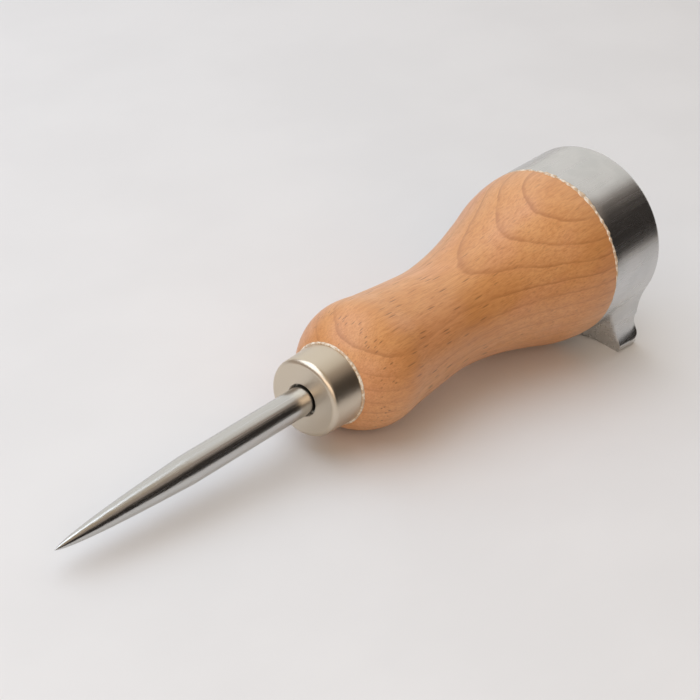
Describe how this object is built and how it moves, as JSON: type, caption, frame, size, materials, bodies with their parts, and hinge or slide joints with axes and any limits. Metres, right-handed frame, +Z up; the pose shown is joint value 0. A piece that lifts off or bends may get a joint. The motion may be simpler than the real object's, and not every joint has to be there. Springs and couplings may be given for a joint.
{
  "type": "scratch awl",
  "caption": "Scratch awl: round steel spike with a slim tapered point, short nickel ferrule, turned hourglass beech handle and a steel striking cap with a side lug that stops it rolling.",
  "frame": {"origin": "centre of the bounding box at the ground it lies on", "axes": "+X from the point to the cap, along the ground under the awl's axis; +Z up; the cap's lug flares towards -Y. The awl's axis rises 5.2 degrees from the point to the cap, as it lies at rest."},
  "size_m": [0.1698, 0.0386, 0.0401],
  "materials": {
    "spike_steel": "polished, with fine grinding marks along the taper",
    "ferrule_nickel": "satin nickel plate",
    "handle_beech": "turned beech with a thin satin varnish",
    "cap_steel": "satin, finely brushed round the cap"
  },
  "bodies": {
    "root": {"spike": "spike_steel", "ferrule": "ferrule_nickel", "handle": "handle_beech", "striking_cap": "cap_steel"}
  },
  "joints": []
}
